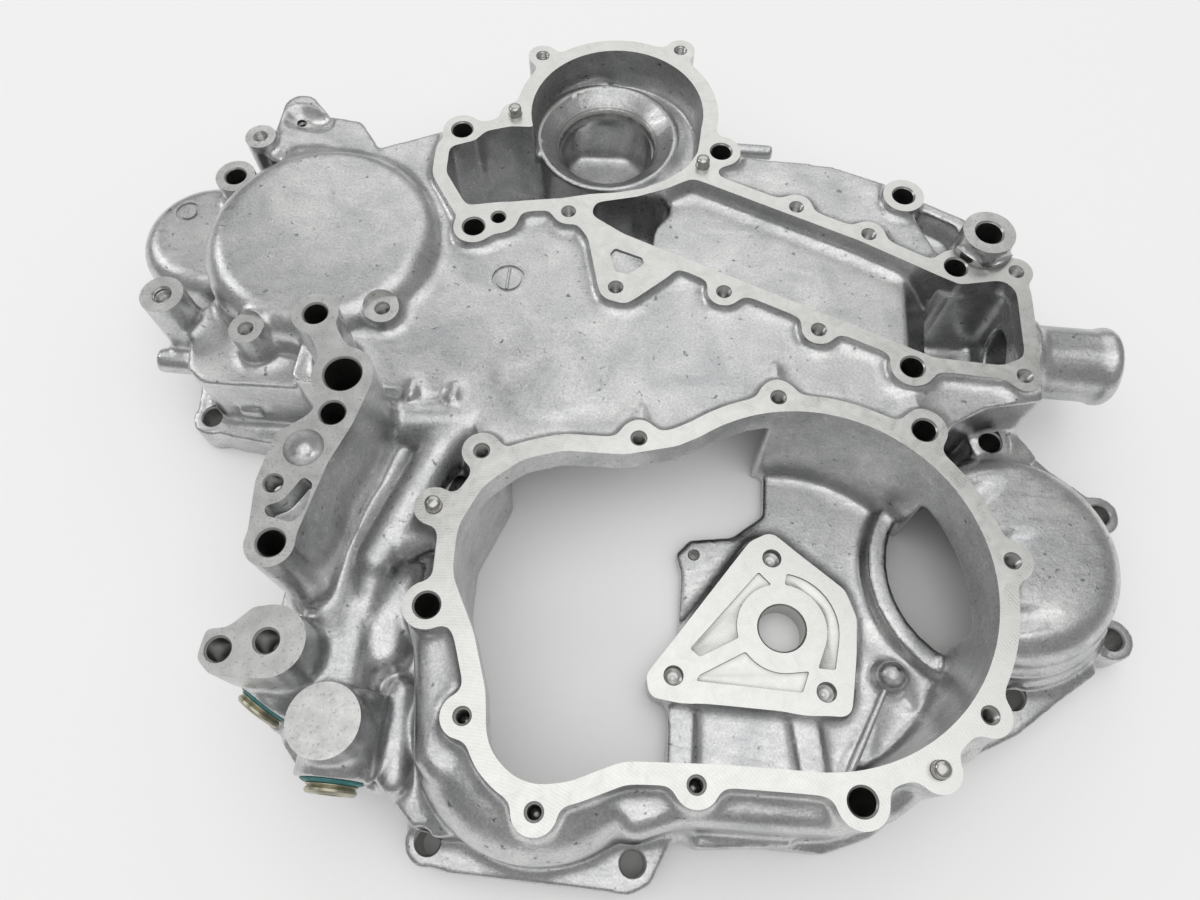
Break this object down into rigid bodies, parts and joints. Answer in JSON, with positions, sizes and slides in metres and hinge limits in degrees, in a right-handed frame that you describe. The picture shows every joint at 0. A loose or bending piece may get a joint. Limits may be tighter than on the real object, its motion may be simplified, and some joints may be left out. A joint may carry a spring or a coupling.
{
  "type": "engine gear case",
  "caption": "Cast aluminium front gear case with a gear opening, a water pump face, a round gear cup, a filter face, dowels and screw plugs.",
  "frame": {"origin": "centre of the oil pump shaft bore in the plane of the block face", "axes": "+Z out of the gasket faces, away from the block; +X from the round cup towards the hose neck; +Y towards the water pump"},
  "size_m": [0.4448, 0.375, 0.096],
  "materials": {
    "cast_aluminium": "as-cast satin with machined faces",
    "dowel_steel": "ground",
    "plated_steel": "zinc plated, with blue-green sealant"
  },
  "bodies": {
    "root": {"gear_case": "cast_aluminium", "cover_dowel_left": "dowel_steel", "cover_dowel_right": "dowel_steel", "pump_dowel_left": "dowel_steel", "pump_dowel_right": "dowel_steel", "side_screw_plug": "plated_steel", "lower_screw_plug": "plated_steel"}
  },
  "joints": []
}
